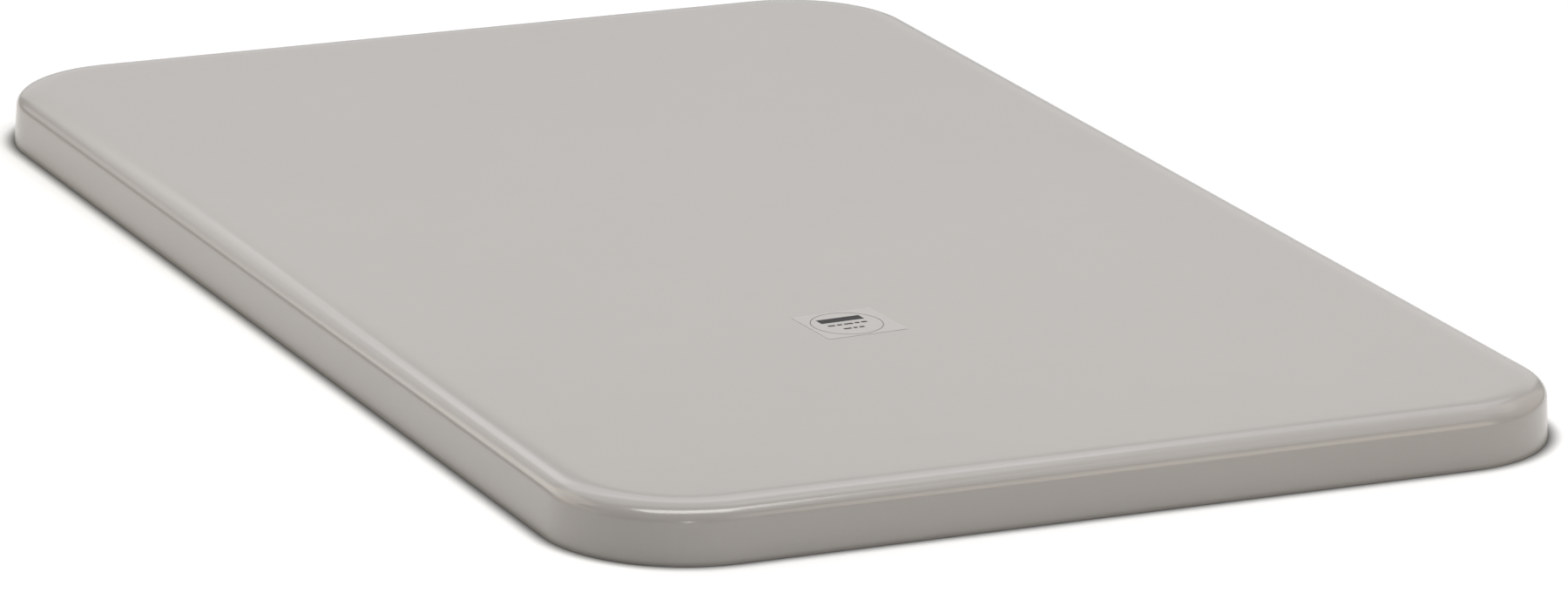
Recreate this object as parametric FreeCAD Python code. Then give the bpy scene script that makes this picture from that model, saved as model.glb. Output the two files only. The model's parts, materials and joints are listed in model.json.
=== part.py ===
import FreeCAD, Part

# Loose lid of a rectangular glass-fibre container, in millimetres.
#
# Row frame: +Z up, origin at the centre of the open edge's plane, +Y along the lid's length.
# The lid lies on its open edge. Its front is the short side at -Y, from which the label reads upright.
#
# The moulding is built up from the outside in: a sprayed gelcoat, a glass-mat laminate behind it, an
# extra glass ply round the edge where the lid sits on its container, and three foam strips that are
# laminated in under the panel. A printed label is stuck on top.

import math
import os

# Driving dimensions of the moulding
LENGTH = 1200.0           # along Y, over the open edge
WIDTH = 750.0             # along X, over the open edge
HEIGHT = 41.0             # open edge to top of panel
CORNER_RADIUS = 97.0      # plan corner at the open edge
WALL_DRAFT = 1.5          # how far the wall leans in on its way up
SHOULDER_RISE = 13.0      # height of the rounded shoulder
SHOULDER_REACH = 28.0     # plan width of the shoulder, with its soft run-out
SHOULDER_PULL_UP = 8.5    # how far the shoulder keeps to the wall's direction
SHOULDER_PULL_IN = 19.5   # how far it keeps to the panel's direction

# Layers, measured inwards from the outer face
GELCOAT_THICKNESS = 0.5
LAMINATE_THICKNESS = 3.5
EDGE_PLY_THICKNESS = 1.2
EDGE_BEVEL = 0.3          # sanded arris on the gelcoat at the open edge
RING_REACH = 72.0         # plan width of the layer that follows the outline; the rest is flat panel
EDGE_PLY_REACH = 62.0     # plan width of the extra ply
EDGE_PLY_START = 7.0      # its lower end, above the open edge

# Stiffeners: foam strips across the short way, each laminated over
RIB_PITCH = 300.0
RIB_NAMES = ("front", "middle", "rear")
CORE_LENGTH = 560.0
CORE_WIDTH = 50.0
CORE_DEPTH = 15.0
CORE_SIDE_SLOPE = 0.62    # plan run per unit of depth on the long sides
CORE_END_SLOPE = 1.0      # and at the two ends
CORE_EDGE_RADIUS = 4.0
CAPPING_THICKNESS = 2.5
CAPPING_FLANGE = 30.0     # width of the flange bonded to the panel
FLANGE_THICKNESS = 2.0
FLANGE_CORNER_RADIUS = 14.0
CAPPING_EDGE_RADIUS = 6.0
CAPPING_CORNER_RADIUS = 8.0
CAPPING_ROOT_RADIUS = 5.0

# Label: adhesive, film and print, stuck a little askew near the front
LABEL_CENTRE = (-34.0, -254.0)
LABEL_TURN = 3.0          # degrees, anticlockwise seen from above
LABEL_SIZE = (63.0, 57.0)
LABEL_CORNER_RADIUS = 1.5
ADHESIVE_THICKNESS = 0.05
FILM_THICKNESS = 0.10
PRINT_THICKNESS = 0.04
PRINT_CENTRE = (-2.0, 0.0)
RING_RADIUS = 26.0
RING_LINE = 0.45
BAR_SIZE = (34.0, 9.0)
BAR_UP = 10.3             # its centre above the print's centre
DASH_HEIGHT = 2.6
DASH_GAP = 1.6
DASH_ROWS = ((-1.0, (5.5, 4.0, 7.0, 3.5, 4.5)), (-11.0, (6.0, 3.0, 4.0)))

# Derived levels
WALL_TOP = HEIGHT - SHOULDER_RISE
LAMINATE_DEPTH = GELCOAT_THICKNESS + LAMINATE_THICKNESS
PANEL_UNDERSIDE = HEIGHT - LAMINATE_DEPTH
EDGE_PLY_DEPTH = LAMINATE_DEPTH + EDGE_PLY_THICKNESS
SAME_HEIGHT = 0.01        # two heights closer than this are one
UP = FreeCAD.Vector(0, 0, 1)
ORIGIN = FreeCAD.Vector(0, 0, 0)


def vec(x, y, z):
    return FreeCAD.Vector(x, y, z)


def rounded_rectangle(half_x, half_y, radius, z):
    """Closed wire of a rectangle with round corners, level at z."""
    edges = []
    for turn in range(4):
        across, along = (half_x, half_y) if turn % 2 == 0 else (half_y, half_x)
        start = vec(across, -along + radius, z)
        end = vec(across, along - radius, z)
        centre = vec(across - radius, along - radius, z)
        middle = centre + vec(math.cos(math.pi / 4), math.sin(math.pi / 4), 0) * radius
        pieces = [Part.LineSegment(start, end).toShape(),
                  Part.Arc(end, middle, vec(across - radius, along, z)).toShape()]
        for piece in pieces:
            piece.rotate(ORIGIN, UP, 90 * turn)
            edges.append(piece)
    return Part.Wire(Part.__sortEdges__(edges))


def rounded_plate(half_x, half_y, radius, z_low, z_high):
    """Level plate with round corners in plan."""
    return Part.Face(rounded_rectangle(half_x, half_y, radius, z_low)).extrude(UP * (z_high - z_low))


def shoulder_poles(depth):
    """Poles of the shoulder curve at a depth below the outer face, as (inset, height)."""
    rise = SHOULDER_RISE - depth
    reach = SHOULDER_REACH - depth
    pull_up = SHOULDER_PULL_UP * rise / SHOULDER_RISE
    pull_in = SHOULDER_PULL_IN * reach / SHOULDER_REACH
    foot = WALL_DRAFT + depth
    return [(foot, WALL_TOP), (foot, WALL_TOP + pull_up),
            (foot + reach - pull_in, WALL_TOP + rise), (foot + reach, WALL_TOP + rise)]


def layer_line(depth, start_height, end_inset, half_size):
    """Edges of a layer's face in section, from its lower end up the wall and onto the panel."""
    def at(point):
        return vec(half_size - point[0], 0, point[1])

    poles = shoulder_poles(depth)
    lean = WALL_DRAFT * start_height / WALL_TOP
    curve = Part.BezierCurve()
    curve.setPoles([at(pole) for pole in poles])
    start = at((depth + lean, start_height))
    end = at((end_inset, poles[-1][1]))
    return [Part.LineSegment(start, at(poles[0])).toShape(),
            curve.toShape(),
            Part.LineSegment(at(poles[-1]), end).toShape()], start, end


def layer_section(outer_depth, inner_depth, start_heights, end_inset, half_size):
    """Closed section of a layer, in the XZ plane, on the side towards +X."""
    outer, outer_start, outer_end = layer_line(outer_depth, start_heights[0], end_inset, half_size)
    inner, inner_start, inner_end = layer_line(inner_depth, start_heights[1], end_inset, half_size)
    closing = [Part.LineSegment(outer_end, inner_end).toShape(),
               Part.LineSegment(inner_start, outer_start).toShape()]
    return Part.Face(Part.Wire(Part.__sortEdges__(outer + inner + closing)))


def layer_ring(outer_depth, inner_depth, start_heights, end_inset):
    """A layer all round the lid: four straight runs and four corners of one section."""
    run_x = WIDTH / 2 - CORNER_RADIUS
    run_y = LENGTH / 2 - CORNER_RADIUS

    def section(half_size):
        return layer_section(outer_depth, inner_depth, start_heights, end_inset, half_size)

    long_side = section(WIDTH / 2)
    long_side.translate(vec(0, -run_y, 0))
    long_side = long_side.extrude(vec(0, 2 * run_y, 0))
    short_side = section(LENGTH / 2)
    short_side.rotate(ORIGIN, UP, 90)
    short_side.translate(vec(-run_x, 0, 0))
    short_side = short_side.extrude(vec(2 * run_x, 0, 0))
    corner = section(CORNER_RADIUS).revolve(ORIGIN, UP, 90)

    pieces = []
    for half_turn in (0, 180):
        for side in (long_side, short_side):
            piece = side.copy()
            piece.rotate(ORIGIN, UP, half_turn)
            pieces.append(piece)
    for turn, (sign_x, sign_y) in enumerate(((1, 1), (-1, 1), (-1, -1), (1, -1))):
        piece = corner.copy()
        piece.rotate(ORIGIN, UP, 90 * turn)
        piece.translate(vec(sign_x * run_x, sign_y * run_y, 0))
        pieces.append(piece)
    return pieces


def fused(pieces):
    return pieces[0].multiFuse(pieces[1:]).removeSplitter()


def layer_shell(outer_depth, inner_depth, start_heights):
    """A whole layer: the ring that follows the outline and the flat panel inside it."""
    panel = rounded_plate(WIDTH / 2 - RING_REACH, LENGTH / 2 - RING_REACH,
                          CORNER_RADIUS - RING_REACH, HEIGHT - inner_depth, HEIGHT - outer_depth)
    return fused(layer_ring(outer_depth, inner_depth, start_heights, RING_REACH) + [panel])


def gelcoat_skin():
    return layer_shell(0.0, GELCOAT_THICKNESS, (EDGE_BEVEL, 0.0))


def laminate_shell():
    return layer_shell(GELCOAT_THICKNESS, LAMINATE_DEPTH, (0.0, 0.0))


def edge_ply():
    start = (EDGE_PLY_START, EDGE_PLY_START + EDGE_PLY_THICKNESS)
    return fused(layer_ring(LAMINATE_DEPTH, EDGE_PLY_DEPTH, start, EDGE_PLY_REACH))


def level_rectangle(half_x, half_y, z):
    corners = [vec(half_x, half_y, z), vec(-half_x, half_y, z),
               vec(-half_x, -half_y, z), vec(half_x, -half_y, z)]
    return Part.makePolygon(corners + corners[:1])


def tapered_strip(thickness):
    """Foam strip grown by a thickness, hanging from the panel's underside and tapering down."""
    side_growth = thickness * math.hypot(1, CORE_SIDE_SLOPE)
    end_growth = thickness * math.hypot(1, CORE_END_SLOPE)
    depth = CORE_DEPTH + thickness
    top = level_rectangle(CORE_LENGTH / 2 + end_growth, CORE_WIDTH / 2 + side_growth, PANEL_UNDERSIDE)
    foot = level_rectangle(CORE_LENGTH / 2 + end_growth - CORE_END_SLOPE * depth,
                           CORE_WIDTH / 2 + side_growth - CORE_SIDE_SLOPE * depth,
                           PANEL_UNDERSIDE - depth)
    return Part.makeLoft([top, foot], True, True)


def edges_between(shape, z_low, z_high):
    """Edges whose ends reach from one height to the other; equal heights pick level edges."""
    def spans(edge):
        heights = sorted(vertex.Z for vertex in edge.Vertexes)
        return abs(heights[0] - z_low) < SAME_HEIGHT and abs(heights[-1] - z_high) < SAME_HEIGHT

    return [edge for edge in shape.Edges if spans(edge)]


def rib_core():
    strip = tapered_strip(0.0)
    foot = PANEL_UNDERSIDE - CORE_DEPTH
    strip = strip.makeFillet(CORE_EDGE_RADIUS, edges_between(strip, foot, PANEL_UNDERSIDE))
    return strip.makeFillet(CORE_EDGE_RADIUS, edges_between(strip, foot, foot))


def rib_capping():
    """Laminate over a foam strip, with a flange all round and soft corners."""
    flange_level = PANEL_UNDERSIDE - FLANGE_THICKNESS
    foot = PANEL_UNDERSIDE - CORE_DEPTH - CAPPING_THICKNESS
    flange = rounded_plate(CORE_LENGTH / 2 + CAPPING_FLANGE, CORE_WIDTH / 2 + CAPPING_FLANGE,
                           FLANGE_CORNER_RADIUS, flange_level, PANEL_UNDERSIDE)
    body = tapered_strip(CAPPING_THICKNESS)
    body = body.makeFillet(CAPPING_CORNER_RADIUS, edges_between(body, foot, PANEL_UNDERSIDE))
    body = body.makeFillet(CAPPING_EDGE_RADIUS, edges_between(body, foot, foot))
    body = body.fuse(flange).removeSplitter()
    outline = CORE_LENGTH / 2 + CAPPING_FLANGE - FLANGE_CORNER_RADIUS
    root = [edge for edge in edges_between(body, flange_level, flange_level)
            if max(abs(vertex.X) for vertex in edge.Vertexes) < outline
            and max(abs(vertex.Y) for vertex in edge.Vertexes) < CORE_WIDTH / 2 + CAPPING_FLANGE / 2]
    body = body.makeFillet(CAPPING_ROOT_RADIUS, root)
    return body.cut(rib_core())


def on_label(shape):
    """Moves a shape drawn round the label's centre to its place on the lid."""
    shape.rotate(ORIGIN, UP, LABEL_TURN)
    shape.translate(vec(LABEL_CENTRE[0], LABEL_CENTRE[1], 0))
    return shape


def label_layer(z_low, thickness):
    return on_label(rounded_plate(LABEL_SIZE[0] / 2, LABEL_SIZE[1] / 2, LABEL_CORNER_RADIUS,
                                  z_low, z_low + thickness))


def printed_block(centre_x, centre_y, width, height, z):
    corner = vec(PRINT_CENTRE[0] + centre_x - width / 2, PRINT_CENTRE[1] + centre_y - height / 2, z)
    return Part.makeBox(width, height, PRINT_THICKNESS, corner)


def label_print(z):
    """Ring, solid bar and plain dashes: a pattern with no lettering."""
    centre = vec(PRINT_CENTRE[0], PRINT_CENTRE[1], z)
    ring = Part.makeCylinder(RING_RADIUS, PRINT_THICKNESS, centre)
    ring = ring.cut(Part.makeCylinder(RING_RADIUS - RING_LINE, PRINT_THICKNESS, centre))
    marks = [ring, printed_block(0, BAR_UP, BAR_SIZE[0], BAR_SIZE[1], z)]
    for row_up, lengths in DASH_ROWS:
        left = -(sum(lengths) + DASH_GAP * (len(lengths) - 1)) / 2
        for length in lengths:
            marks.append(printed_block(left + length / 2, row_up, length, DASH_HEIGHT, z))
            left += length + DASH_GAP
    return on_label(Part.makeCompound(marks))


def all_parts():
    film_level = HEIGHT + ADHESIVE_THICKNESS
    parts = {
        "gelcoat_skin": gelcoat_skin(),
        "laminate_shell": laminate_shell(),
        "edge_ply": edge_ply(),
        "label_adhesive": label_layer(HEIGHT, ADHESIVE_THICKNESS),
        "label_film": label_layer(film_level, FILM_THICKNESS),
        "label_print": label_print(film_level + FILM_THICKNESS),
    }
    for place, name in enumerate(RIB_NAMES):
        offset = vec(0, (place - 1) * RIB_PITCH, 0)
        for kind, shape in (("rib_core", rib_core()), ("rib_capping", rib_capping())):
            shape.translate(offset)
            parts[f"{kind}_{name}"] = shape
    return parts


def main():
    os.makedirs("parts", exist_ok=True)
    for name, shape in all_parts().items():
        solids = len(shape.Solids)
        box = shape.BoundBox
        print(f"{name}: {solids} solid(s), valid {shape.isValid()}, {shape.Volume / 1000:.1f} cm3, "
              f"z {box.ZMin:.2f} to {box.ZMax:.2f}, {box.XLength:.1f} x {box.YLength:.1f}")
        shape.exportStep(f"parts/{name}.step")


main()
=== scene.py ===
import json
import math

import bpy
from mathutils import Matrix, Vector

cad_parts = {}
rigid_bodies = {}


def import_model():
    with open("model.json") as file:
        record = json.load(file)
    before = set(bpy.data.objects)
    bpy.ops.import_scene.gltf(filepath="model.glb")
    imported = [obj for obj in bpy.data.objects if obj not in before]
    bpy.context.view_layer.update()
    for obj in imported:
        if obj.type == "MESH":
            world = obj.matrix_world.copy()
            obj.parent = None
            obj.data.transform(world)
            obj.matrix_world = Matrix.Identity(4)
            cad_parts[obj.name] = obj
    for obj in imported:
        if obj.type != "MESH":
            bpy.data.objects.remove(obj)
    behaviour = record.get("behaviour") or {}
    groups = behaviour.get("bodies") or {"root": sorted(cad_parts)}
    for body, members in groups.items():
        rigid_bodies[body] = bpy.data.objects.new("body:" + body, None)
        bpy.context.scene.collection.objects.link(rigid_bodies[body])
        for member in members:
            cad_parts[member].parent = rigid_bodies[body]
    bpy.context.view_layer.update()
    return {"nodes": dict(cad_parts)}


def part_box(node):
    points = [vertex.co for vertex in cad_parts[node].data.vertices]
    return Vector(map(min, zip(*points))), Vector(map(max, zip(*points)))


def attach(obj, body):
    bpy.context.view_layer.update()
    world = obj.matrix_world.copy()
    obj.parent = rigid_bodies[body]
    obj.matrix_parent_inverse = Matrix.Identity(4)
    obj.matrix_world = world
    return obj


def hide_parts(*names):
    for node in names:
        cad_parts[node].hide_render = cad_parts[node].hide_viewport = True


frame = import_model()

bl_info = {
    "name": "Container Lid",
    "version": (1, 0, 0),
    "blender": (4, 5, 0),
    "location": "3D View > Sidebar > Lid",
    "description": "Moulded lid of a glass-fibre container, built round its CAD frame",
    "category": "Add Mesh",
}

MM = 0.001
BODY = "root"
SKIN_LOW, SKIN_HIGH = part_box("gelcoat_skin")
LAMINATE_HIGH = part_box("laminate_shell")[1]
PLY_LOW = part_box("edge_ply")[0]
CORE_LOW, CORE_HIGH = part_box("rib_core_middle")
CAPPING_LOW, CAPPING_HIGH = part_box("rib_capping_middle")
FILM_LOW, FILM_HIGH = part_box("label_film")
PRINT_LOW, PRINT_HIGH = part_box("label_print")
PANEL_UNDERSIDE = CORE_HIGH.z
RIB_PLACES = ("front", "middle", "rear")


# ---------------------------------------------------------------------------------------------
# Settings


def length(name, default, description):
    return bpy.props.FloatProperty(name=name, default=default, description=description,
                                   unit="LENGTH", subtype="DISTANCE", precision=5)


def colour(name, default, description):
    return bpy.props.FloatVectorProperty(name=name, default=default, description=description,
                                         size=3, min=0.0, max=1.0, subtype="COLOR")


def share(name, default, description):
    return bpy.props.FloatProperty(name=name, default=default, description=description,
                                   min=0.0, max=1.0, subtype="FACTOR")


def angle(name, degrees, description):
    return bpy.props.FloatProperty(name=name, default=math.radians(degrees), description=description,
                                   unit="ROTATION", subtype="ANGLE")


class LidSizes(bpy.types.PropertyGroup):
    width: length("Width", SKIN_HIGH.x - SKIN_LOW.x, "Over the open edge, across")
    length: length("Length", SKIN_HIGH.y - SKIN_LOW.y, "Over the open edge, along")
    height: length("Height", SKIN_HIGH.z, "Open edge to top of panel")
    corner_radius: length("Corner Radius", 97 * MM, "Plan corner at the open edge")
    panel_corner: length("Panel Corner", 25 * MM, "Plan corner that the mesh keeps inside the shoulder")
    draft: length("Draft", 1.5 * MM, "How far the wall leans in on its way up")
    shoulder_rise: length("Shoulder Rise", 13 * MM, "Height of the rounded shoulder")
    shoulder_reach: length("Shoulder Reach", 28 * MM, "Plan width of the rounded shoulder")
    pull_up: length("Pull Up", 8.5 * MM, "How far the shoulder keeps to the wall's direction")
    pull_in: length("Pull In", 19.5 * MM, "How far the shoulder keeps to the panel's direction")


class GelcoatLook(bpy.types.PropertyGroup):
    thickness: length("Thickness", SKIN_HIGH.z - LAMINATE_HIGH.z, "Thickness of the sprayed coat")
    bevel: length("Bevel", 0.3 * MM, "Sanded arris at the open edge")
    colour: colour("Colour", (0.31, 0.293, 0.276), "Colour of the gelcoat")
    roughness: share("Roughness", 0.17, "How matt the gelcoat is")
    wave_height: length("Wave Height", 0.05 * MM, "Slow unevenness of the moulded face")
    wave_size: length("Wave Size", 110 * MM, "Size of one slow wave")
    peel_height: length("Peel Height", 0.004 * MM, "Depth of the fine orange peel")


class UndersideLook(bpy.types.PropertyGroup):
    thickness: length("Laminate", LAMINATE_HIGH.z - PANEL_UNDERSIDE,
                      "Thickness of the glass-mat laminate")
    ply: length("Edge Ply", 1.2 * MM, "Thickness of the extra ply round the edge")
    ply_reach: length("Ply Reach", 62 * MM, "How far in from the edge the extra ply ends")
    ply_feather: length("Ply Feather", 7 * MM, "How wide the extra ply's border thins out")
    ply_tear: length("Ply Tear", 16 * MM, "How unevenly the extra ply's border is torn")
    flange: length("Flange", 2.0 * MM, "Thickness of the capping's flange")
    flange_corner: length("Flange Corner", 14 * MM, "Plan corner of the capping's flange")
    capping: length("Capping", 2.5 * MM, "Thickness of the laminate over a foam strip")
    colour: colour("Colour", (0.335, 0.33, 0.295), "Colour of the coated laminate")
    relief: length("Relief", 0.12 * MM, "Depth of the glass mat's pattern")
    wave_height: length("Wave Height", 0.35 * MM, "Unevenness of the hand-laid face")
    strand_count: bpy.props.FloatProperty(name="Strands", default=4200.0, min=0.0,
                                          description="Raised strands for each square metre")
    strand_length: length("Strand Length", 42 * MM, "Length of a chopped strand")
    strand_width: length("Strand Width", 1.1 * MM, "Width of a chopped strand")
    strand_height: length("Strand Height", 0.16 * MM, "How far a strand stands out of the resin")
    seed: bpy.props.IntProperty(name="Seed", default=7, description="Which random lay of strands")
    foam_colour: colour("Foam Colour", (0.72, 0.60, 0.36), "Colour of the cut foam")


class LabelLook(bpy.types.PropertyGroup):
    turn: angle("Turn", 3.0, "How far askew the label is stuck")
    width: length("Width", 63 * MM, "Width of the film")
    height: length("Height", 57 * MM, "Height of the film")
    corner: length("Corner", 1.5 * MM, "Corner of the film")
    ring: length("Ring Radius", 26 * MM, "Outer radius of the printed ring")
    ring_line: length("Ring Line", 0.45 * MM, "Width of the printed ring's line")
    film_colour: colour("Film Colour", (0.352, 0.336, 0.322), "Colour of the film")
    glue_colour: colour("Glue Colour", (0.33, 0.31, 0.285), "Colour of the glue")
    ink_colour: colour("Ink Colour", (0.035, 0.034, 0.034), "Colour of the print")


class StageLook(bpy.types.PropertyGroup):
    azimuth: angle("Azimuth", -25.25, "Bearing of the camera; 0 looks along +Y")
    elevation: angle("Elevation", 16.66, "Height of the camera above the horizon")
    roll: angle("Roll", 1.247, "Turn of the camera about its own axis")
    distance: length("Distance", 6.257, "From the camera to the point it aims at")
    aim: bpy.props.FloatVectorProperty(name="Aim", default=(0.0267, -0.0166, -0.0120), unit="LENGTH",
                                       subtype="XYZ", description="Point that the camera aims at")
    lens: bpy.props.FloatProperty(name="Lens", default=196.33, unit="CAMERA",
                                  description="Focal length on a 36 mm wide sensor")
    floor_colour: colour("Floor Colour", (0.90, 0.90, 0.90), "Colour of the floor")
    # The contact settings shape a shadow painted into the floor's colour next to the lid
    contact_reach: length("Contact Reach", 18 * MM, "How far the contact shadow looks for the lid")
    contact_start: share("Contact Start", 0.48, "Open sky at which the floor is at its darkest")
    contact_slope: bpy.props.FloatProperty(name="Contact Slope", default=2.6, min=0.0,
                                           description="How fast the contact shadow lightens")
    contact_least: share("Contact Least", 0.10, "Share of the floor's colour left at the darkest")
    surround: share("Surround", 0.27, "Brightness of the studio round the floor")


SETTINGS = {"lid_sizes": LidSizes, "lid_gelcoat": GelcoatLook, "lid_underside": UndersideLook,
            "lid_label": LabelLook, "lid_stage": StageLook}


# ---------------------------------------------------------------------------------------------
# Node trees


# Sockets of a Mix node that mixes colours, which share their names with its other sockets
MIX_FACTOR, MIX_FIRST, MIX_SECOND = 0, 6, 7
MIX_COLOUR = 2


class Value:
    """An output socket of a node tree. Arithmetic on it adds Math nodes to the tree."""

    def __init__(self, wiring, socket):
        self.wiring = wiring
        self.socket = socket

    def math(self, operation, *operands):
        return self.wiring.node("ShaderNodeMath", {"operation": operation}, dict(enumerate(operands)))

    def __add__(self, other):
        return self.math("ADD", self, other)

    def __sub__(self, other):
        return self.math("SUBTRACT", self, other)

    def __rsub__(self, other):
        return self.math("SUBTRACT", other, self)

    def __mul__(self, other):
        return self.math("MULTIPLY", self, other)

    def __truediv__(self, other):
        return self.math("DIVIDE", self, other)

    def __rtruediv__(self, other):
        return self.math("DIVIDE", other, self)

    def __neg__(self):
        return self.math("MULTIPLY", self, -1.0)

    __radd__ = __add__
    __rmul__ = __mul__

    def floor(self):
        return self.math("FLOOR", self)

    def sign(self):
        return self.math("SIGN", self)

    def sine(self):
        return self.math("SINE", self)

    def cosine(self):
        return self.math("COSINE", self)

    def least(self, other):
        return self.math("MINIMUM", self, other)

    def most(self, other):
        return self.math("MAXIMUM", self, other)

    def above(self, other):
        return self.math("GREATER_THAN", self, other)

    def ramp(self, low, high):
        """0 below low, 1 above high, and smooth between them."""
        return self.wiring.node("ShaderNodeMapRange", {"interpolation_type": "SMOOTHSTEP"},
                                {"Value": self, "From Min": low, "From Max": high})

    def other(self, name):
        """Another output of the same node."""
        return Value(self.wiring, self.wiring.output(self.socket.node, name))


class Wiring:
    """Builds one node tree."""

    def __init__(self, tree):
        self.tree = tree

    def node(self, kind, settings=None, inputs=None, output=0):
        """Adds a node: its settings first, then the values or links of its sockets."""
        made = self.tree.nodes.new(kind)
        for name, value in (settings or {}).items():
            setattr(made, name, value)
        for key, value in (inputs or {}).items():
            socket = made.inputs[key] if isinstance(key, int) else named(made.inputs, key)
            if isinstance(value, Value):
                self.tree.links.new(value.socket, socket)
            else:
                socket.default_value = value
        return Value(self, self.output(made, output)) if made.outputs else None

    def output(self, node, key):
        return node.outputs[key] if isinstance(key, int) else named(node.outputs, key)

    def vector(self, x=0.0, y=0.0, z=0.0):
        return self.node("ShaderNodeCombineXYZ", inputs={"X": x, "Y": y, "Z": z})

    def parts(self, vector):
        split = self.node("ShaderNodeSeparateXYZ", inputs={"Vector": vector})
        return split, split.other("Y"), split.other("Z")

    def scaled(self, vector, amount):
        return self.node("ShaderNodeVectorMath", {"operation": "SCALE"},
                         {0: vector, "Scale": amount})

    def noise(self, vector, size, detail=2.0, roughness=0.5):
        """Soft noise whose features are about a given size."""
        return self.node("ShaderNodeTexNoise", inputs={"Vector": vector, "Scale": 1.0 / size,
                                                       "Detail": detail, "Roughness": roughness})

    def blend(self, factor, first, second):
        """A colour between two colours."""
        first, second = (shade if isinstance(shade, Value) else (*shade, 1.0)
                         for shade in (first, second))
        return self.node("ShaderNodeMix", {"data_type": "RGBA"},
                         {MIX_FACTOR: factor, MIX_FIRST: first, MIX_SECOND: second}, MIX_COLOUR)


def named(sockets, name):
    return next(socket for socket in sockets if socket.name == name and socket.enabled)


class Shape(Wiring):
    """Builds a Geometry Nodes tree with named inputs."""

    def __init__(self, name):
        super().__init__(bpy.data.node_groups.new(name, "GeometryNodeTree"))
        self.tree.interface.new_socket("Geometry", in_out="OUTPUT", socket_type="NodeSocketGeometry")
        self.start = self.tree.nodes.new("NodeGroupInput")

    def input(self, name, kind="NodeSocketFloat"):
        self.tree.interface.new_socket(name, in_out="INPUT", socket_type=kind)
        return Value(self, self.start.outputs[name])

    def shift(self, geometry, direction, amount):
        """Moves every point along a direction by an amount."""
        offset = self.scaled(direction, amount)
        return self.node("GeometryNodeSetPosition", inputs={"Geometry": geometry, "Offset": offset})

    def finish(self, geometry, material):
        """Ends the tree with real geometry in its material."""
        real = self.node("GeometryNodeRealizeInstances", inputs={"Geometry": geometry})
        dressed = self.node("GeometryNodeSetMaterial", inputs={"Geometry": real, "Material": material})
        self.node("NodeGroupOutput", inputs={"Geometry": dressed})
        return self.tree


def run_shape(piece, tree, inputs):
    """Runs a Geometry Nodes tree on a piece and keeps the result as its plain mesh."""
    modifier = piece.modifiers.new(tree.name, "NODES")
    modifier.node_group = tree
    identifiers = {item.name: item.identifier for item in tree.interface.items_tree
                   if item.item_type == "SOCKET" and item.in_out == "INPUT"}
    for name, value in inputs.items():
        modifier[identifiers[name]] = value
    depsgraph = bpy.context.evaluated_depsgraph_get()
    made = bpy.data.meshes.new_from_object(piece.evaluated_get(depsgraph), depsgraph=depsgraph)
    piece.modifiers.remove(modifier)
    made.materials.pop(index=0)          # the modifier leaves an empty slot before its own
    piece.data = made
    made.name = piece.name
    return piece


def new_piece(name, points=(), edges=()):
    mesh = bpy.data.meshes.new(name)
    mesh.from_pydata(list(points), list(edges), [])
    piece = bpy.data.objects.new(name, mesh)
    bpy.context.scene.collection.objects.link(piece)
    return piece


def joined(name, pieces):
    """One piece made of several plain meshes."""
    mesh = bpy.data.meshes.new(name)
    points, faces, material = [], [], pieces[0].data.materials[0]
    for piece in pieces:
        start = len(points)
        points += [vertex.co.copy() for vertex in piece.data.vertices]
        faces += [[start + index for index in face.vertices] for face in piece.data.polygons]
        bpy.data.objects.remove(piece)
    mesh.from_pydata(points, [], faces)
    mesh.materials.append(material)
    piece = bpy.data.objects.new(name, mesh)
    bpy.context.scene.collection.objects.link(piece)
    return piece


def keep(piece, slot, *nodes):
    """Makes a finished piece ride on the lid and stand for its CAD nodes."""
    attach(piece, BODY)
    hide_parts(*nodes)


# ---------------------------------------------------------------------------------------------
# One section swept round a rounded outline makes each layer, capping and label piece


TEAR_SIZE = 0.045        # size of one tear, on a lap of a circle of radius 1
WELD = 2e-6              # points of the sweep's seam and poles that lie closer are joined


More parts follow.
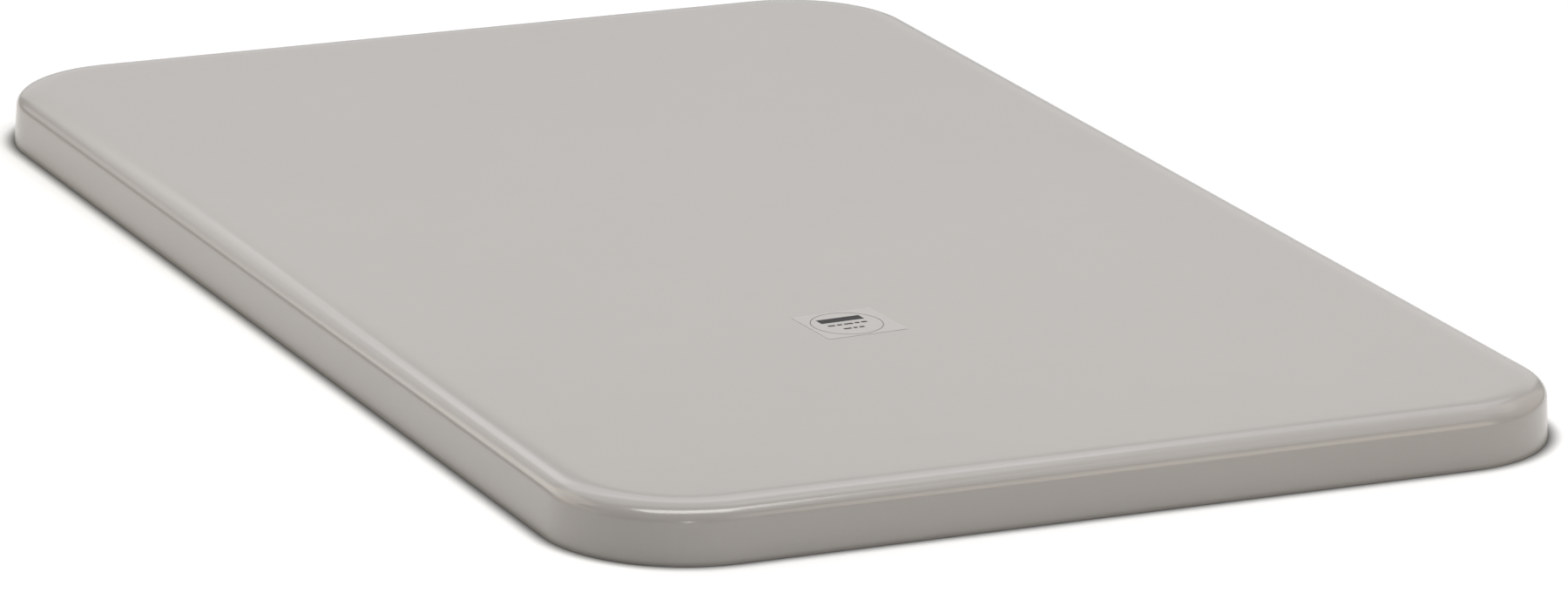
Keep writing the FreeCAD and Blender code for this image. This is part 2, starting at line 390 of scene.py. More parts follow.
def sweep_tree():
    """The input is the section, a line of points: x is the inset from the outline, z the height,
    and y how much of the waves and ripples a point takes.

    A section runs along its lower face from the middle out, up the edge and back along its upper
    face. The faces then point outwards.
    """
    shape = Shape("Section round an outline")
    section = shape.input("Geometry", "NodeSocketGeometry")
    half_x = shape.input("Half Width")
    half_y = shape.input("Half Length")
    radius = shape.input("Corner Radius")
    inner_radius = shape.input("Inner Radius")
    corner_steps = shape.input("Corner Steps", "NodeSocketInt")
    side_steps = shape.input("Side Steps", "NodeSocketInt")
    wave_height = shape.input("Wave Height")
    wave_size = shape.input("Wave Size")
    ripple_height = shape.input("Ripple Height")
    ripple_size = shape.input("Ripple Size")
    torn = shape.input("Torn Edge")
    torn_low = shape.input("Torn From")
    torn_high = shape.input("Torn To")
    smooth = shape.input("Smooth", "NodeSocketBool")
    material = shape.input("Material", "NodeSocketMaterial")

    along_count = shape.node("GeometryNodeAttributeDomainSize", {"component": "MESH"},
                             {"Geometry": section}, "Point Count")
    quarter = corner_steps + side_steps
    grid = shape.node("GeometryNodeMeshGrid",
                      inputs={"Vertices X": quarter * 4.0 + 1.0, "Vertices Y": along_count})
    whole = 0.0001           # keeps a whole number from falling just short in a division
    index = shape.node("GeometryNodeInputIndex")
    around = (index / along_count + whole).floor()
    point = shape.node("GeometryNodeSampleIndex", {"data_type": "FLOAT_VECTOR"},
                       {"Geometry": section, "Value": shape.node("GeometryNodeInputPosition"),
                        "Index": index - around * along_count})
    inset, rough, height = shape.parts(point)

    turn = (around / quarter + whole).floor()
    step = around - turn * quarter
    bearing = (turn + (step / corner_steps).least(1.0)) * (math.pi / 2)
    on_side = (step - corner_steps).most(0.0) / side_steps
    from_x, from_y = corner_signs(turn)
    to_x, to_y = corner_signs(turn + 1.0)

    lap = around / (quarter * 4.0) * (2 * math.pi)
    tear = shape.noise(shape.vector(lap.cosine(), lap.sine()), TEAR_SIZE, 4.0, 0.7) - 0.5
    tearing = inset.above(torn_low) - inset.above(torn_high)
    inset = inset + tear * torn * tearing
    arc = (radius - inset).most(inner_radius.least(half_x.least(half_y) - inset))
    x = (half_x - inset - arc) * (from_x + (to_x - from_x) * on_side) + bearing.cosine() * arc
    y = (half_y - inset - arc) * (from_y + (to_y - from_y) * on_side) + bearing.sine() * arc

    marked = shape.node("GeometryNodeStoreNamedAttribute", {"data_type": "FLOAT"},
                        {"Geometry": grid, "Name": "rough", "Value": rough})
    laid = shape.node("GeometryNodeSetPosition", inputs={"Geometry": marked,
                                                         "Position": shape.vector(x, y, height)})
    closed = shape.node("GeometryNodeMergeByDistance", inputs={"Geometry": laid,
                                                               "Distance": WELD})

    here = shape.node("GeometryNodeInputPosition")
    depth = (shape.noise(here, wave_size, 1.0) * wave_height
             + shape.noise(here, ripple_size, 2.0) * ripple_height)
    kept = shape.node("GeometryNodeInputNamedAttribute", {"data_type": "FLOAT"}, {"Name": "rough"})
    waved = shape.shift(closed, shape.node("GeometryNodeInputNormal"), -(depth * kept))
    shaded = shape.node("GeometryNodeSetShadeSmooth", inputs={"Geometry": waved,
                                                              "Shade Smooth": smooth})
    return shape.finish(shaded, material)


def corner_signs(quarter_turns):
    """Signs of x and y of the corner that lies so many quarter turns round."""
    bearing = (quarter_turns + 0.5) * (math.pi / 2)
    return bearing.cosine().sign(), bearing.sine().sign()


PLAIN = {"Wave Height": 0.0, "Wave Size": 1.0, "Ripple Height": 0.0, "Ripple Size": 1.0,
         "Torn Edge": 0.0, "Torn From": 0.0, "Torn To": 0.0, "Smooth": False}


def swept(name, section, size, corner, steps, material, inner_corner=0.0, finish=None, place=None):
    """A piece with a section of (inset, height, roughness) swept round a rounded rectangle."""
    points = [(inset, rough, height) for inset, height, rough in section]
    edges = [(start, start + 1) for start in range(len(points) - 1)]
    inputs = {"Half Width": size[0] / 2, "Half Length": size[1] / 2, "Corner Radius": corner,
              "Inner Radius": inner_corner, "Corner Steps": steps[0], "Side Steps": steps[1],
              "Material": material, **PLAIN, **(finish or {})}
    tree = bpy.data.node_groups.get("Section round an outline") or sweep_tree()
    piece = run_shape(new_piece(name, points, edges), tree, inputs)
    if place:
        piece.data.transform(place)
    return piece


def evenly(start, end, count):
    """Points between two, with the end and without the start."""
    return [Vector(start).lerp(Vector(end), step / count) for step in range(1, count + 1)]


def face_line(depth, foot, end_inset, steps):
    """(inset, height) points of a face of the moulding at a depth below the outer one, going up.

    The steps are those of the wall, the shoulder and the panel.
    """
    sizes = bpy.context.scene.lid_sizes
    wall_steps, shoulder_steps, panel_steps = steps
    rise = sizes.shoulder_rise - depth
    reach = sizes.shoulder_reach - depth
    head = sizes.height - sizes.shoulder_rise
    wall = sizes.draft + depth
    poles = [Vector(pole) for pole in (
        (wall, head),
        (wall, head + sizes.pull_up * rise / sizes.shoulder_rise),
        (wall + reach - sizes.pull_in * reach / sizes.shoulder_reach, head + rise),
        (wall + reach, head + rise))]
    start = Vector((depth + sizes.draft * foot / head, foot))
    line = [start] + evenly(start, poles[0], wall_steps)
    line += [bezier(poles, step / shoulder_steps) for step in range(1, shoulder_steps + 1)]
    return line + evenly(poles[3], (end_inset, poles[3].y), panel_steps)


def bezier(poles, t):
    weights = ((1 - t) ** 3, 3 * t * (1 - t) ** 2, 3 * t ** 2 * (1 - t), t ** 3)
    return sum((pole * weight for pole, weight in zip(poles, weights)), Vector((0.0, 0.0)))


def with_roughness(points, rough):
    return [(point[0], point[1], rough) for point in points]


# ---------------------------------------------------------------------------------------------
# Materials


class Finish(Wiring):
    """Builds one material round a Principled shader."""

    def __init__(self, name, **constants):
        self.material = bpy.data.materials.new(name)
        self.material.use_nodes = True
        super().__init__(self.material.node_tree)
        self.shader = self.tree.nodes["Principled BSDF"]
        for socket, value in constants.items():
            self.set(socket.replace("_", " "), value)

    def set(self, socket, value):
        """A constant on the shader's own socket, or a link to it."""
        target = self.shader.inputs[socket]
        if isinstance(value, Value):
            self.tree.links.new(value.socket, target)
        elif target.type == "RGBA":
            target.default_value = (*value, 1.0)
        else:
            target.default_value = value

    def place(self):
        """Object coordinates."""
        return self.node("ShaderNodeTexCoord", output="Object")

    def bump(self, height, depth, under=None):
        """A bump of a real depth, on top of another one if given."""
        inputs = {"Height": height, "Distance": depth, "Strength": 1.0}
        if under:
            inputs["Normal"] = under
        return self.node("ShaderNodeBump", inputs=inputs)


def gelcoat_material(look):
    """Glossy gelcoat: slow colour drift, fine peel, faint print-through of the glass mat."""
    finish = Finish("sprayed_gelcoat", Specular_IOR_Level=0.5, IOR=1.5)
    here = finish.place()
    drift = finish.noise(here, 160 * MM, 3.0, 0.55)
    clouds = finish.noise(here, 21 * MM, 4.0, 0.6)
    shade = (drift - 0.5) * 0.05 + (clouds - 0.5) * 0.025 + 1.0
    finish.set("Base Color", finish.scaled(tuple(look.colour), shade))
    fog = finish.noise(here, 60 * MM, 4.0, 0.6)
    finish.set("Roughness", (fog - 0.5) * 0.06 + look.roughness)
    peel = finish.noise(here, 5 * MM, 2.0, 0.5)
    print_through = mat_pattern(finish, here, 5)
    low = finish.bump(print_through, look.peel_height * 0.6)
    finish.set("Normal", finish.bump(peel, look.peel_height, low))
    return finish.material


def mat_pattern(finish, plan, directions):
    """0 to 1: random crossing strands of a chopped glass mat, in plan coordinates."""
    found = 0.0
    for number in range(directions):
        bearing = math.pi * (number + 0.37) / directions
        turned = finish.node("ShaderNodeMapping", {"vector_type": "TEXTURE"}, {
            "Vector": plan, "Rotation": (0.0, 0.0, bearing), "Scale": (38 * MM, 1.3 * MM, 400 * MM)})
        streaks = finish.node("ShaderNodeTexNoise", inputs={"Vector": turned, "Scale": 1.0,
                                                            "Detail": 1.0}).ramp(0.50, 0.68)
        found = streaks if number == 0 else found.most(streaks)
    return found


def unfolded(finish):
    """Plan coordinates in which walls and slopes lie opened out flat beside the panel."""
    here = finish.place()
    facing = finish.node("ShaderNodeTexCoord", output="Normal")
    drop = PANEL_UNDERSIDE - finish.parts(here)[2]
    return finish.node("ShaderNodeVectorMath", {"operation": "ADD"},
                       {0: here, 1: finish.scaled(facing, -drop)})


def laminate_material(look):
    """Hand-laid glass mat under a thin grey topcoat; the cut edge shows bare fibre."""
    finish = Finish("laid_glass_mat", Specular_IOR_Level=0.5, IOR=1.5, Coat_Roughness=0.12)
    plan = unfolded(finish)
    strands = mat_pattern(finish, plan, 7)
    pools = finish.noise(plan, 26 * MM, 4.0, 0.62)
    grain = finish.noise(plan, 1.6 * MM, 3.0, 0.6)
    base = Vector(look.colour)
    coated = finish.blend(strands * 0.7, tuple(base * 0.86), tuple(base * 1.13))
    coated = finish.blend(pools.ramp(0.55, 0.72) * 0.45, coated, tuple(base * 0.74))
    height = finish.parts(finish.place())[2]
    cut = (1.2 * MM - height).above(0.0)
    bare = finish.blend(grain.ramp(0.4, 0.6), (0.33, 0.34, 0.25), (0.55, 0.56, 0.46))
    finish.set("Base Color", finish.blend(cut, coated, bare))
    finish.set("Roughness", (strands * 0.16 + 0.26) + cut * 0.3 - pools.ramp(0.5, 0.7) * 0.1)
    finish.set("Coat Weight", pools.ramp(0.45, 0.65) * 0.5)
    first = finish.bump(strands + pools * 0.8, look.relief)
    finish.set("Normal", finish.bump(grain, 0.02 * MM, first))
    return finish.material


def strand_material(look):
    """Resin-soaked glass strand under the topcoat."""
    finish = Finish("glass_strand", Specular_IOR_Level=0.5, IOR=1.5)
    here = finish.place()
    tone = finish.noise(here, 9 * MM, 2.0)
    base = Vector(look.colour)
    finish.set("Base Color", finish.blend(tone.ramp(0.35, 0.65), tuple(base * 0.95), tuple(base * 1.3)))
    finish.set("Roughness", tone * 0.2 + 0.25)
    finish.set("Normal", finish.bump(finish.noise(here, 0.6 * MM, 2.0), 0.02 * MM))
    return finish.material


def foam_material(look):
    """Rigid foam with open cut cells; painted shade darkens the colour in each cell's pit."""
    finish = Finish("cut_foam", Specular_IOR_Level=0.2)
    here = finish.place()
    cells = finish.node("ShaderNodeTexVoronoi", {"feature": "F1"}, {"Vector": here,
                                                                   "Scale": 1 / (0.9 * MM)})
    dust = finish.noise(here, 14 * MM, 3.0)
    base = Vector(look.foam_colour)
    # Painted shade: the colour darkens towards the middle of each cell, where the bump makes a pit
    pits_with_painted_shade = finish.blend(cells.ramp(0.1, 0.6), tuple(base * 0.72), tuple(base))
    finish.set("Base Color", finish.blend(dust.ramp(0.5, 0.75) * 0.4, pits_with_painted_shade, tuple(base * 0.85)))
    finish.set("Roughness", cells * 0.15 + 0.8)
    finish.set("Normal", finish.bump(cells, 0.25 * MM))
    return finish.material


def film_material(look):
    """Thin milky film, satin, slightly cloudy."""
    finish = Finish("milky_film", IOR=1.48)
    here = finish.place()
    cloud = finish.noise(here, 8 * MM, 3.0)
    base = Vector(look.film_colour)
    finish.set("Base Color", finish.blend(cloud, tuple(base * 0.98), tuple(base * 1.02)))
    finish.set("Roughness", (cloud - 0.5) * 0.1 + 0.3)
    finish.set("Normal", finish.bump(finish.noise(here, 4 * MM, 2.0), 0.003 * MM))
    return finish.material


def adhesive_material(look):
    """Dull glue, with a few trapped bubbles."""
    finish = Finish("dull_glue", IOR=1.48)
    here = finish.place()
    bubbles = finish.node("ShaderNodeTexVoronoi", {"feature": "F1"}, {"Vector": here,
                                                                     "Scale": 1 / (6 * MM)})
    base = Vector(look.glue_colour)
    finish.set("Base Color", finish.blend(bubbles.ramp(0.1, 0.2), tuple(base * 1.1), tuple(base)))
    finish.set("Roughness", bubbles * 0.2 + 0.5)
    return finish.material


def ink_material(look):
    """Black print with a slightly broken edge."""
    finish = Finish("black_print", Specular_IOR_Level=0.12)
    here = finish.place()
    worn = finish.noise(here, 0.7 * MM, 3.0, 0.7)
    base = Vector(look.ink_colour)
    finish.set("Base Color", finish.blend(worn.ramp(0.55, 0.8), tuple(base), tuple(base * 3.0)))
    finish.set("Roughness", worn * 0.2 + 0.55)
    return finish.material


def shared(name, make, *looks):
    """A material that several operators use, made once."""
    return bpy.data.materials.get(name) or make(*looks)


# ---------------------------------------------------------------------------------------------
# Operators


class LID_OT_gelcoat(bpy.types.Operator):
    """Add the glossy outer coat of the moulding"""
    bl_idname = "lid.gelcoat"
    bl_label = "Gelcoat"

    def execute(self, context):
        sizes, look = context.scene.lid_sizes, context.scene.lid_gelcoat
        middle = sizes.width / 2
        inner = face_line(look.thickness, 0.0, middle, (5, 14, 26))
        outer = face_line(0.0, look.bevel, middle, (8, 22, 34))
        section = with_roughness(reversed(inner), 0.0)
        section += [(look.bevel, 0.0, 0.0), (0.3 * look.bevel, 0.3 * look.bevel, 0.0)]
        section += with_roughness(outer[:1], 0.0) + with_roughness(outer[1:], 1.0)
        waves = {"Wave Height": look.wave_height, "Wave Size": look.wave_size, "Smooth": True}
        piece = swept("gelcoat_moulding", section, (sizes.width, sizes.length), sizes.corner_radius,
                      (28, 72), gelcoat_material(look), sizes.panel_corner, waves)
        keep(piece, "gelcoat", "gelcoat_skin")
        return {"FINISHED"}


class LID_OT_laminate(bpy.types.Operator):
    """Add the glass-mat laminate behind the gelcoat"""
    bl_idname = "lid.laminate"
    bl_label = "Laminate"

    def execute(self, context):
        scene = context.scene
        sizes, look, skin = scene.lid_sizes, scene.lid_underside, scene.lid_gelcoat.thickness
        middle = sizes.width / 2
        inner = face_line(skin + look.thickness, 0.0, middle, (8, 16, 52))
        outer = face_line(skin, 0.0, middle, (4, 10, 8))
        section = with_roughness(reversed(inner), 1.0) + with_roughness(outer, 0.0)
        waves = {"Wave Height": look.wave_height, "Wave Size": 34 * MM,
                 "Ripple Height": 0.3 * look.wave_height, "Ripple Size": 9 * MM, "Smooth": True}
        piece = swept("laminate_moulding", section, (sizes.width, sizes.length),
                      sizes.corner_radius, (24, 90), shared("laid_glass_mat", laminate_material, look),
                      sizes.panel_corner, waves)
        keep(piece, "glass_laminate", "laminate_shell")
        return {"FINISHED"}


class LID_OT_edge_ply(bpy.types.Operator):
    """Add the extra ply laid in round the edge, with its torn inner border"""
    bl_idname = "lid.edge_ply"
    bl_label = "Edge Ply"

    def execute(self, context):
        scene = context.scene
        sizes, look, skin = scene.lid_sizes, scene.lid_underside, scene.lid_gelcoat.thickness
        depth = skin + look.thickness
        reach, feather = look.ply_reach, look.ply_feather
        inner = face_line(depth + look.ply, PLY_LOW.z + look.ply, reach - feather, (6, 14, 6))
        outer = face_line(depth, PLY_LOW.z, reach, (4, 10, 3))
        border = [(reach - feather / 2, PANEL_UNDERSIDE - 0.7 * look.ply, 1.0),
                  (reach - feather / 9, PANEL_UNDERSIDE - 0.35 * look.ply, 0.6)]
        section = [(reach, PANEL_UNDERSIDE, 0.0)] + border[::-1]
        section += with_roughness(reversed(inner), 1.0) + with_roughness(outer, 0.0)
        waves = {"Wave Height": 0.5 * look.wave_height, "Wave Size": 30 * MM,
                 "Ripple Height": 0.25 * look.wave_height, "Ripple Size": 8 * MM,
                 "Torn Edge": look.ply_tear, "Torn From": reach - 0.9 * feather, "Torn To": 1.0,
                 "Smooth": True}
        piece = swept("edge_ply_laid", section, (sizes.width, sizes.length), sizes.corner_radius,
                      (24, 120), shared("laid_glass_mat", laminate_material, look),
                      sizes.panel_corner, waves)
        keep(piece, "glass_laminate", "edge_ply")
        return {"FINISHED"}


class LID_OT_cappings(bpy.types.Operator):
    """Add the laminate cappings over the foam strips"""
    bl_idname = "lid.cappings"
    bl_label = "Rib Cappings"

    def execute(self, context):
        look = context.scene.lid_underside
        section = self.section(look)
        waves = {"Wave Height": 0.7 * look.wave_height, "Wave Size": 24 * MM,
                 "Ripple Height": 0.3 * look.wave_height, "Ripple Size": 7 * MM,
                 "Torn Edge": 9 * MM, "Torn From": -1.0, "Torn To": 6 * MM, "Smooth": True}
        size = CAPPING_HIGH - CAPPING_LOW
        for place in RIB_PLACES:
            node = f"rib_capping_{place}"
            low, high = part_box(node)
            centre = Matrix.Translation((0.0, (low.y + high.y) / 2, 0.0))
            piece = swept(f"capping_laid_{place}", section, (size.x, size.y), look.flange_corner,
                          (12, 110), shared("laid_glass_mat", laminate_material, look),
                          11 * MM, waves, centre)
            keep(piece, "glass_laminate", node)
        return {"FINISHED"}

    @staticmethod
    def section(look):
        """Top hat: flange, soft root, sloping side, rounded edge and flat top, laid upside down."""
        half = (CAPPING_HIGH.y - CAPPING_LOW.y) / 2
        core = (CORE_HIGH.y - CORE_LOW.y) / 2
        root = 3 * MM            # how far the curves at both ends of the slope spread
        slope_start = half - core - 1.2 * look.capping
        slope_run = 12.5 * MM
        core_lean = 9.3 * MM     # how far the core's side leans in on its way down
        flange = PANEL_UNDERSIDE - look.flange
        top = CAPPING_LOW.z
        visible = [(0.0, PANEL_UNDERSIDE - 0.25 * look.flange, 0.0),
                   (1.5 * MM, PANEL_UNDERSIDE - 0.75 * look.flange, 0.5)]
        visible += with_roughness(evenly((3 * MM, flange), (slope_start - root, flange), 5), 1.0)
        steps = 14
        for step in range(1, steps):
            t = step / steps
            soft = t * t * (3 - 2 * t)
            visible.append((slope_start - root + t * (slope_run + 2 * root),
                            flange + (top - flange) * soft, 1.0))
        flat_start = slope_start + slope_run + root
        visible += with_roughness([(flat_start, top)] + evenly((flat_start, top), (half, top), 4), 1.0)
        foot = CORE_LOW.z
        hidden = [(0.0, PANEL_UNDERSIDE), (half - core, PANEL_UNDERSIDE),
                  (half - core + core_lean, foot), (half, foot)]
        return visible[::-1] + with_roughness(hidden, 0.0)


class LID_OT_cores(bpy.types.Operator):
    """Give the foam strips inside the ribs their material"""
    bl_idname = "lid.cores"
    bl_label = "Foam Cores"

    def execute(self, context):
        foam = foam_material(context.scene.lid_underside)
        for place in RIB_PLACES:
            node = frame["nodes"][f"rib_core_{place}"]
            for slot in node.material_slots:
                slot.material = foam
        return {"FINISHED"}


LEAST_DOWN = 0.2         # how much a face looks down, at least, to take strands
CLEAR_OF_FOOT = 6 * MM   # how far above the open edge a face lies, at least, to take strands
BARE_FACE = 0.9          # how rough a face is marked, at least, to take strands
BOW = 0.22               # middle of a strand's curve, off to the side, as a share of its length


def strand_tree():
    """Short bowed strands scattered over the faces that look down, and pressed onto them."""
    shape = Shape("Chopped strands on a face")
    faces = shape.input("Geometry", "NodeSocketGeometry")
    density = shape.input("Density")
    long = shape.input("Strand Length")
    wide = shape.input("Strand Width")
    high = shape.input("Strand Height")
    seed = shape.input("Seed", "NodeSocketInt")
    material = shape.input("Material", "NodeSocketMaterial")

    shown = shape.node("GeometryNodeInputNamedAttribute", {"data_type": "FLOAT"}, {"Name": "rough"})
    faces = shape.node("GeometryNodeDeleteGeometry", {"domain": "FACE"},
                       {"Geometry": faces, "Selection": BARE_FACE - shown})
    facing = shape.parts(shape.node("GeometryNodeInputNormal"))[2]
    height = shape.parts(shape.node("GeometryNodeInputPosition"))[2]
    chosen = (-facing).above(LEAST_DOWN) * height.above(CLEAR_OF_FOOT)
    points = shape.node("GeometryNodeDistributePointsOnFaces", inputs={
        "Mesh": faces, "Selection": chosen, "Density": density, "Seed": seed})
    line = shape.node("GeometryNodeCurveQuadraticBezier", inputs={
        "Resolution": 5, "Start": shape.vector(long * -0.5), "Middle": shape.vector(0.0, long * BOW),
        "End": shape.vector(long * 0.5)})
    round_section = shape.node("GeometryNodeCurvePrimitiveCircle", {"mode": "RADIUS"},
                               {"Resolution": 4, "Radius": 1.0}, "Curve")
    x, y, z = shape.parts(shape.node("GeometryNodeInputPosition"))
    section = shape.node("GeometryNodeSetPosition", inputs={
        "Geometry": round_section, "Position": shape.vector(x * wide * 0.5, y * high)})
    strand = shape.node("GeometryNodeCurveToMesh", inputs={"Curve": line, "Profile Curve": section,
                                                           "Fill Caps": True})
    lift = shape.parts(shape.node("GeometryNodeInputPosition"))[2]
    marked = shape.node("GeometryNodeStoreNamedAttribute", {"data_type": "FLOAT"},
                        {"Geometry": strand, "Name": "lift", "Value": lift})
    spin = shape.node("FunctionNodeRandomValue", {"data_type": "FLOAT"},
                      {"Min": 0.0, "Max": 2 * math.pi, "Seed": seed}, "Value")
    bow = shape.node("FunctionNodeRandomValue", {"data_type": "FLOAT"},
                     {"Min": 0.1, "Max": 1.0, "Seed": seed + 1.0}, "Value")
    reach = shape.node("FunctionNodeRandomValue", {"data_type": "FLOAT"},
                       {"Min": 0.6, "Max": 1.15, "Seed": seed + 2.0}, "Value")
    turned = shape.node("FunctionNodeRotateRotation", {"rotation_space": "LOCAL"},
                        {"Rotation": points.other("Rotation"),
                         "Rotate By": shape.node("FunctionNodeEulerToRotation",
                                                 inputs={"Euler": shape.vector(z=spin)})})
    strands = shape.node("GeometryNodeInstanceOnPoints", inputs={
        "Points": points, "Instance": marked, "Rotation": turned,
        "Scale": shape.vector(reach, bow, 1.0)})
    real = shape.node("GeometryNodeRealizeInstances", inputs={"Geometry": strands})
    near = shape.node("GeometryNodeProximity", {"target_element": "FACES"}, {"Geometry": faces},
                      "Position")
    outward = shape.node("GeometryNodeSampleNearestSurface", {"data_type": "FLOAT_VECTOR"},
                         {"Mesh": faces, "Value": shape.node("GeometryNodeInputNormal")})
    kept = shape.node("GeometryNodeInputNamedAttribute", {"data_type": "FLOAT"}, {"Name": "lift"})
    pressed = shape.node("GeometryNodeSetPosition", inputs={"Geometry": real, "Position": near})
    lifted = shape.shift(pressed, outward, kept)
    smooth = shape.node("GeometryNodeSetShadeSmooth", inputs={"Geometry": lifted})
    return shape.finish(smooth, material)


class LID_OT_strands(bpy.types.Operator):
    """Scatter the raised glass strands over the underside"""
    bl_idname = "lid.strands"
    bl_label = "Glass Strands"

    def execute(self, context):
        look = context.scene.lid_underside
        tree = strand_tree()
        material = strand_material(look)
        under = ["laminate_moulding", "edge_ply_laid"] + [f"capping_laid_{p}" for p in RIB_PLACES]
        for number, name in enumerate(under):
            piece = bpy.data.objects.new(f"strands_on_{name}", bpy.data.objects[name].data.copy())
            context.scene.collection.objects.link(piece)
            run_shape(piece, tree, {"Density": look.strand_count, "Strand Length": look.strand_length,
                                    "Strand Width": look.strand_width,
                                    "Strand Height": look.strand_height,
                                    "Seed": look.seed + 10 * number, "Material": material})
            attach(piece, BODY)
        return {"FINISHED"}


PRINT_SHIFT = -2 * MM                       # of the print's centre from the film's
PRINT_CORNER = 0.3 * MM
BAR = (34 * MM, 9 * MM)
BAR_UP = 10.3 * MM
DASH_HEIGHT = 2.6 * MM
DASH_GAP = 1.6 * MM
DASH_ROWS = ((-1.0, (5.5, 4.0, 7.0, 3.5, 4.5)),       # millimetres up, and each dash's length
             (-11.0, (6.0, 3.0, 4.0)))


class LID_OT_label(bpy.types.Operator):
    """Add the label: its glue, its film and its print of a ring, a bar and dashes"""
    bl_idname = "lid.label"
    bl_label = "Label"

    def execute(self, context):
        look = context.scene.lid_label
        centre = (FILM_LOW + FILM_HIGH) / 2
        place = Matrix.Translation((centre.x, centre.y, 0.0)) @ Matrix.Rotation(look.turn, 4, "Z")
        size = (look.width, look.height)
        glue_low, glue_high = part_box("label_adhesive")
        for name, node, low, high, material in (
                ("label_glue", "label_adhesive", glue_low.z, glue_high.z, adhesive_material(look)),
                ("label_sheet", "label_film", FILM_LOW.z, FILM_HIGH.z, film_material(look))):
            sheet = swept(name, plate_section(size, low, high), size, look.corner, (8, 10), material,
                          place=place)
            keep(sheet, node, node)
        marks = joined("label_marks", list(self.marks(look, ink_material(look), place)))
        keep(marks, "label_ink", "label_print")
        return {"FINISHED"}

    @staticmethod
    def marks(look, ink, place):
        low, high = PRINT_LOW.z, PRINT_HIGH.z
        shift = place @ Matrix.Translation((PRINT_SHIFT, 0.0, 0.0))
        line = [(look.ring_line, low, 0.0), (0.0, low, 0.0), (0.0, high, 0.0),
                (look.ring_line, high, 0.0), (look.ring_line, low, 0.0)]
        across = (2 * look.ring, 2 * look.ring)
        yield swept("ring", line, across, look.ring, (40, 1), ink, place=shift)
        yield swept("bar", plate_section(BAR, low, high), BAR, PRINT_CORNER, (4, 6), ink,
                    place=shift @ Matrix.Translation((0.0, BAR_UP, 0.0)))
        for up, lengths in DASH_ROWS:
            left = -(sum(lengths) * MM + DASH_GAP * (len(lengths) - 1)) / 2
            for dash_length in lengths:
                dash = (dash_length * MM, DASH_HEIGHT)
                centre = Matrix.Translation((left + dash[0] / 2, up * MM, 0.0))
                yield swept("dash", plate_section(dash, low, high), dash, PRINT_CORNER, (4, 3),
                            ink, place=shift @ centre)
                left += dash[0] + DASH_GAP


def plate_section(size, low, high):
    """Section of a level plate: in from the middle below, up the edge, back to the middle above."""
    middle = min(size) / 2
    return [(middle, low, 0.0), (middle / 2, low, 0.0), (0.0, low, 0.0), (0.0, high, 0.0),
            (middle / 2, high, 0.0), (middle, high, 0.0)]


def area_light(name, place, aim, size, power, tint=(1.0, 1.0, 1.0)):
    """A rectangular softbox that faces a point."""
    light = bpy.data.lights.new(name, "AREA")
    light.shape = "RECTANGLE"
    light.size, light.size_y = size
    light.energy = power
    light.color = tint
    lamp = bpy.data.objects.new(name, light)
    lamp.location = place
    lamp.rotation_mode = "QUATERNION"
    lamp.rotation_quaternion = (Vector(aim) - Vector(place)).to_track_quat("-Z", "Y")
    bpy.context.scene.collection.objects.link(lamp)
    return lamp


FLOOR_SIZE = 40.0        # metres
SENSOR_WIDTH = 36.0      # millimetres
VIEW_DEPTH = 100.0       # metres


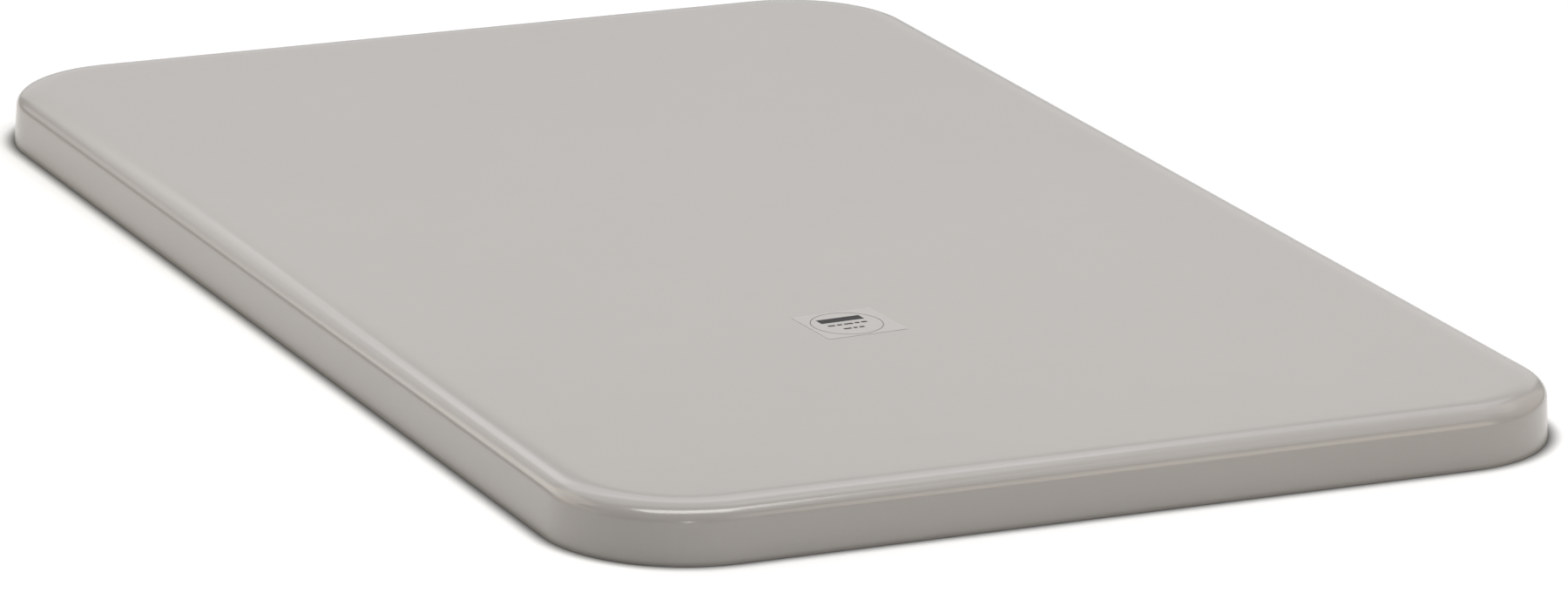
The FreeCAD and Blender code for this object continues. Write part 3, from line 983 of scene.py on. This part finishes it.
class LID_OT_stage(bpy.types.Operator):
    """Add the floor, the studio lights and the camera"""
    bl_idname = "lid.stage"
    bl_label = "Stage"

    def execute(self, context):
        look = context.scene.lid_stage
        self.floor(look)
        self.lights(context.scene, look)
        self.camera(context.scene, look)
        context.scene.view_settings.view_transform = "Standard"
        return {"FINISHED"}

    @staticmethod
    def floor(look):
        finish = Finish("floor", Specular_IOR_Level=0.2, Roughness=0.8)
        tone = finish.noise(finish.place(), 0.4, 2.0)
        base = Vector(look.floor_colour)
        open_floor = finish.blend(tone, tuple(base), tuple(base * 0.985))
        # Painted contact shadow: where ambient occlusion finds the lid within the contact reach, the
        # floor's colour is blended towards black
        sky = finish.node("ShaderNodeAmbientOcclusion", {"samples": 16},
                          {"Distance": look.contact_reach}, "AO")
        painted_shadow_mix = ((sky - look.contact_start) * look.contact_slope).least(1.0)
        painted_shadow_mix = painted_shadow_mix.most(look.contact_least)
        finish.set("Base Color", finish.blend(painted_shadow_mix, (0.0, 0.0, 0.0), open_floor))
        floor = new_piece("floor")
        half = FLOOR_SIZE / 2
        corners = [(-half, -half, 0), (half, -half, 0), (half, half, 0), (-half, half, 0)]
        floor.data.from_pydata(corners, [], [(0, 1, 2, 3)])
        floor.data.materials.append(finish.material)

    @staticmethod
    def lights(scene, look):
        world = bpy.data.worlds.new("studio")
        world.use_nodes = True
        background = world.node_tree.nodes["Background"]
        background.inputs["Color"].default_value = (1.0, 1.0, 1.0, 1.0)
        background.inputs["Strength"].default_value = look.surround
        scene.world = world
        middle = (0.0, 0.0, 0.0)
        warm, cool = (1.0, 0.92, 0.79), (0.91, 0.93, 1.0)
        area_light("overhead_softbox", (-0.17, -0.64, 2.1), (-0.19, -0.74, 0.0), (1.65, 0.75), 31.5)
        area_light("corner_strip", (-1.01, -3.07, 0.42), (-0.31, -0.60, 0.03), (0.30, 0.52), 3.6)
        area_light("rear_overhead", (0.3, 1.3, 2.3), middle, (2.2, 1.6), 11.0, cool)
        area_light("rear_panel", (0.96, 2.04, 1.9), middle, (2.5, 0.95), 8.5, cool)
        area_light("rear_middle_box", (-0.15, 2.7, 1.5), middle, (1.3, 0.8), 3.0)
        area_light("front_high_box", (1.0, -1.1, 2.0), middle, (1.2, 1.2), 4.3)
        area_light("horizon_panel", (1.2, 2.7, 0.75), middle, (3.2, 1.2), 8.0)
        area_light("rear_left_box", (-1.7, 2.3, 1.1), middle, (2.0, 1.2), 6.4)
        area_light("left_box", (-1.9, 1.5, 1.6), middle, (2.4, 2.0), 22.0, warm)
        area_light("left_low_panel", (-3.6, 1.0, 0.75), middle, (3.6, 1.3), 15.0, warm)
        area_light("right_front_box", (1.4, -2.6, 1.0), middle, (1.4, 1.2), 11.0, warm)
        area_light("right_front_low_box", (1.7, -2.7, 0.45), middle, (1.6, 0.8), 5.0, warm)
        area_light("right_panel", (2.9, 0.2, 1.3), middle, (3.2, 2.2), 12.0, warm)
        area_light("right_high_box", (1.7, 0.3, 2.3), middle, (1.8, 1.6), 7.0)

    @staticmethod
    def camera(scene, look):
        data = bpy.data.cameras.new("camera")
        data.lens = look.lens
        data.sensor_width = SENSOR_WIDTH
        data.clip_end = VIEW_DEPTH
        camera = bpy.data.objects.new("camera", data)
        back = Vector((math.sin(look.azimuth) * math.cos(look.elevation),
                       -math.cos(look.azimuth) * math.cos(look.elevation),
                       math.sin(look.elevation)))
        upright = (-back).to_track_quat("-Z", "Y").to_matrix().to_4x4()
        place = Matrix.Translation(Vector(look.aim) + back * look.distance)
        camera.matrix_world = place @ upright @ Matrix.Rotation(look.roll, 4, "Z")
        scene.collection.objects.link(camera)
        scene.camera = camera


class LID_PT_panel(bpy.types.Panel):
    """Buttons and sizes of the lid"""
    bl_idname = "LID_PT_panel"
    bl_label = "Container Lid"
    bl_space_type = "VIEW_3D"
    bl_region_type = "UI"
    bl_category = "Lid"

    def draw(self, context):
        for operator in OPERATORS:
            self.layout.operator(operator.bl_idname)
        for name, group in SETTINGS.items():
            box = self.layout.box()
            for key in group.__annotations__:
                box.prop(getattr(context.scene, name), key)


OPERATORS = (LID_OT_gelcoat, LID_OT_laminate, LID_OT_edge_ply, LID_OT_cappings, LID_OT_cores,
             LID_OT_strands, LID_OT_label, LID_OT_stage)


def register():
    for group in SETTINGS.values():
        bpy.utils.register_class(group)
    for name, group in SETTINGS.items():
        setattr(bpy.types.Scene, name, bpy.props.PointerProperty(type=group))
    for kind in (*OPERATORS, LID_PT_panel):
        bpy.utils.register_class(kind)


def unregister():
    for kind in (LID_PT_panel, *reversed(OPERATORS)):
        bpy.utils.unregister_class(kind)
    for name in SETTINGS:
        delattr(bpy.types.Scene, name)
    for group in SETTINGS.values():
        bpy.utils.unregister_class(group)


def main():
    register()
    bpy.ops.lid.gelcoat()
    bpy.ops.lid.laminate()
    bpy.ops.lid.edge_ply()
    bpy.ops.lid.cappings()
    bpy.ops.lid.cores()
    bpy.ops.lid.strands()
    bpy.ops.lid.label()
    bpy.ops.lid.stage()


if __name__ == "__main__":
    main()
